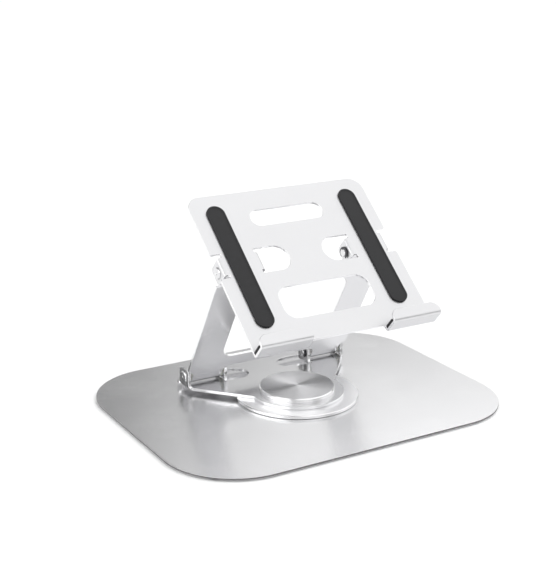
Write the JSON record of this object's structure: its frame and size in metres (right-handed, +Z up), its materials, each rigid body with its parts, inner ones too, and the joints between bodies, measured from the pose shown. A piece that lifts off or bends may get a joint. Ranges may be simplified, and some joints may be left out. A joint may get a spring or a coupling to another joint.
{
  "type": "tablet stand",
  "caption": "Sheet-metal tablet stand: a flat base with a turntable, a hinged arm and a tilting support plate with padded hooks.",
  "frame": {"origin": "on the table, under the middle of the base: the middle of the whole object's box, at the bottom of the feet", "axes": "+Z up, -Y towards the person using the stand, +X to their right, along the base's longer side"},
  "size_m": [0.267, 0.208, 0.1529],
  "materials": {
    "base_satin": "satin, fine bead-blasted grain, pale silver",
    "sheet_metal": "fine brushed grain, near mirror, bright cut edges",
    "holder_metal": "satin silver, fine grain, bright cut edges",
    "polished_metal": "turned and polished, circular grain",
    "pin_steel": "polished steel",
    "dark_steel": "dark zinc",
    "nylon": "natural nylon",
    "silicone": "matt black silicone with a fine moulded texture"
  },
  "bodies": {
    "base": {"base_plate": "base_satin", "foot_front_left": "silicone", "foot_front_right": "silicone", "foot_rear_left": "silicone", "foot_rear_right": "silicone", "pivot_stud": "dark_steel", "slip_ring": "nylon", "spring_washer": "dark_steel", "pivot_nut": "dark_steel"},
    "turntable": {"turntable_disc": "polished_metal", "lower_bracket": "sheet_metal", "bracket_screw_1": "dark_steel", "bracket_screw_2": "dark_steel", "bracket_screw_3": "dark_steel", "knob_cap": "polished_metal", "lower_pin_left": "pin_steel", "lower_pin_right": "pin_steel", "lower_pin_clip_left": "dark_steel", "lower_pin_clip_right": "dark_steel", "lower_inner_washer_left": "nylon", "lower_inner_washer_right": "nylon", "lower_outer_washer_left": "nylon", "lower_outer_washer_right": "nylon"},
    "arm": {"arm_plate": "sheet_metal"},
    "holder": {"support_plate": "holder_metal", "plate_pad_left": "silicone", "plate_pad_right": "silicone", "shelf_pad_left": "silicone", "shelf_pad_right": "silicone", "lip_pad_left": "silicone", "lip_pad_right": "silicone", "upper_pin_left": "pin_steel", "upper_pin_right": "pin_steel", "upper_pin_clip_left": "dark_steel", "upper_pin_clip_right": "dark_steel", "upper_inner_washer_left": "nylon", "upper_inner_washer_right": "nylon", "upper_outer_washer_left": "nylon", "upper_outer_washer_right": "nylon"}
  },
  "joints": [
    {"name": "turntable_spin", "type": "hinge", "parent": "base", "child": "turntable", "pos_m": [0, 0, 0.0031], "axis": [0, 0, 1], "continuous": true},
    {"name": "arm_hinge", "type": "hinge", "parent": "turntable", "child": "arm", "pos_m": [0, 0.049, 0.0144], "axis": [1, 0, 0], "range_deg": [-80, 20]},
    {"name": "holder_tilt", "type": "hinge", "parent": "arm", "child": "holder", "pos_m": [0, -0.00489, 0.10865], "axis": [1, 0, 0], "range_deg": [-100, 50]}
  ]
}
